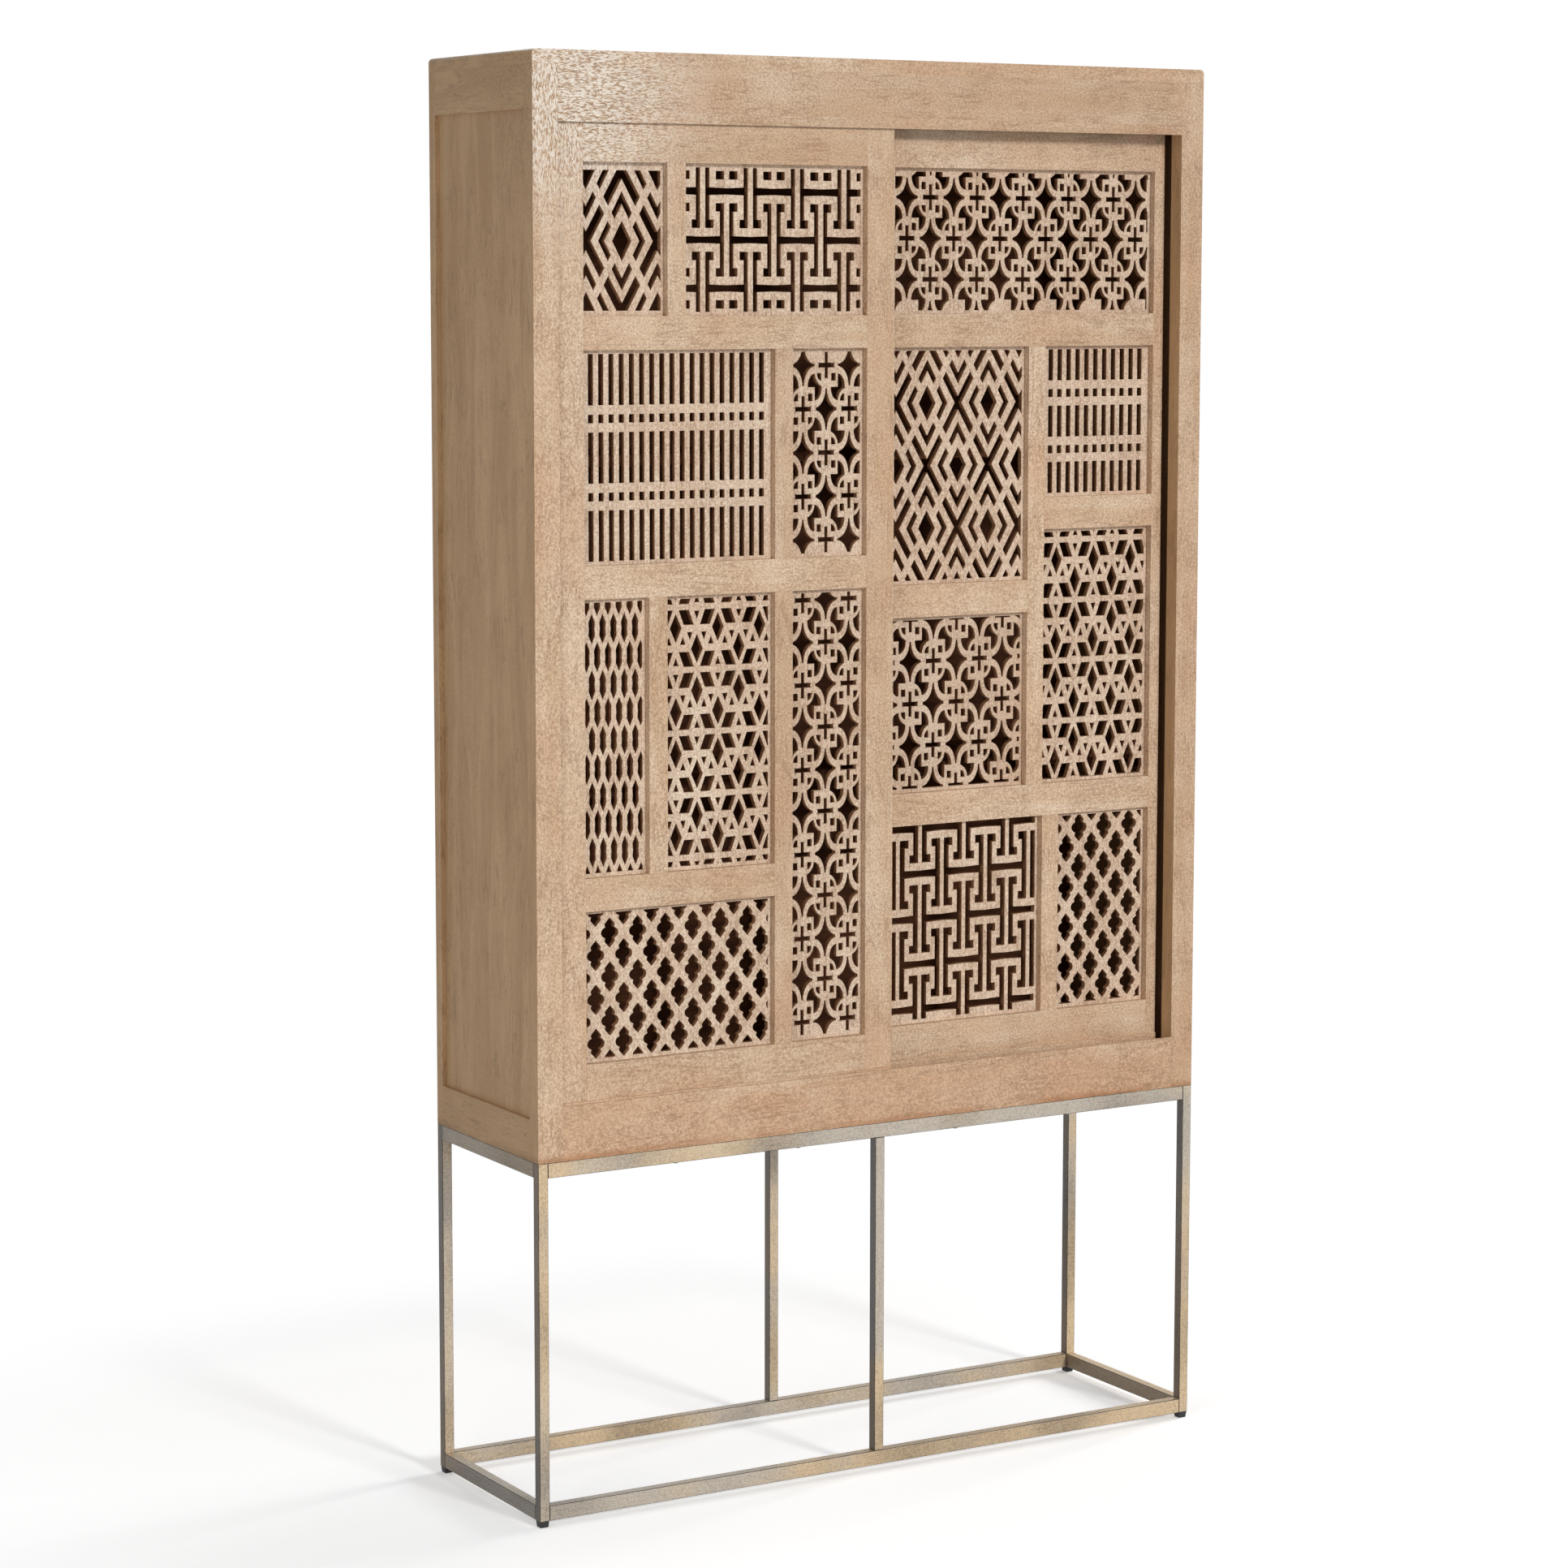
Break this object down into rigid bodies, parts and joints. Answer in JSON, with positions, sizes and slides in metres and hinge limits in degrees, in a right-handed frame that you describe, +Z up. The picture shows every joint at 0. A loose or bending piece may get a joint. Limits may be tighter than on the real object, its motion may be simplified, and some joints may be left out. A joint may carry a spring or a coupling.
{
  "type": "china cabinet",
  "caption": "Tall framed wooden cabinet with bypass sliding doors of pierced fretwork panels, shelves inside, standing on an open frame of square metal tube.",
  "frame": {"origin": "on the floor under the middle of the cabinet", "axes": "+Z up, -Y out of the door front, +X to the right of a person facing the doors"},
  "size_m": [1.09, 0.313, 2],
  "materials": {
    "washed_wood": "pale washed, matt",
    "fret_wood": "pale washed, matt",
    "inner_wood": "brown stain, matt",
    "tube_metal": "brushed, antique silver",
    "glide_plastic": "matt black"
  },
  "bodies": {
    "case": {"back_panel": "inner_wood", "base_bottom_front_rail": "tube_metal", "base_bottom_rear_rail": "tube_metal", "base_bottom_side_rails": "tube_metal", "base_top_front_rail": "tube_metal", "base_top_rear_rail": "tube_metal", "base_top_side_rails": "tube_metal", "floor_board": "inner_wood", "foot_glides": "glide_plastic", "front_bottom_rail": "washed_wood", "front_left_leg": "tube_metal", "front_left_post": "washed_wood", "front_right_leg": "tube_metal", "front_right_post": "washed_wood", "front_top_rail": "washed_wood", "head_board": "inner_wood", "left_side_panel": "washed_wood", "left_side_rails": "washed_wood", "lower_lip": "washed_wood", "lower_shelf": "inner_wood", "lower_track_ribs": "inner_wood", "middle_uprights": "tube_metal", "rear_bottom_rail": "washed_wood", "rear_left_leg": "tube_metal", "rear_left_post": "washed_wood", "rear_right_leg": "tube_metal", "rear_right_post": "washed_wood", "rear_top_rail": "washed_wood", "right_side_panel": "washed_wood", "right_side_rails": "washed_wood", "shelf_cleats": "inner_wood", "top_board": "washed_wood", "upper_lip": "washed_wood", "upper_shelf": "inner_wood", "upper_track_ribs": "inner_wood"},
    "left_door": {"left_door_left_stile": "washed_wood", "left_door_muntins": "washed_wood", "left_door_rails": "washed_wood", "left_door_right_stile": "washed_wood", "left_door_runner": "washed_wood", "left_foil_panel": "fret_wood", "left_fret_panel": "fret_wood", "left_lozenge_panel": "fret_wood", "left_short_ring_panel": "fret_wood", "left_slat_panel": "fret_wood", "left_star_panel": "fret_wood", "left_tall_ring_panel": "fret_wood", "left_wave_panel": "fret_wood"},
    "right_door": {"right_door_left_stile": "washed_wood", "right_door_muntins": "washed_wood", "right_door_rails": "washed_wood", "right_door_right_stile": "washed_wood", "right_door_runner": "washed_wood", "right_foil_panel": "fret_wood", "right_fret_panel": "fret_wood", "right_lozenge_panel": "fret_wood", "right_slat_panel": "fret_wood", "right_square_ring_panel": "fret_wood", "right_star_panel": "fret_wood", "right_wide_ring_panel": "fret_wood"}
  },
  "joints": [
    {"name": "left_door_slide", "type": "slide", "parent": "case", "child": "left_door", "axis": [1, 0, 0], "range_m": [0, 0.486]},
    {"name": "right_door_slide", "type": "slide", "parent": "case", "child": "right_door", "axis": [1, 0, 0], "range_m": [-0.525, 0.026]}
  ]
}
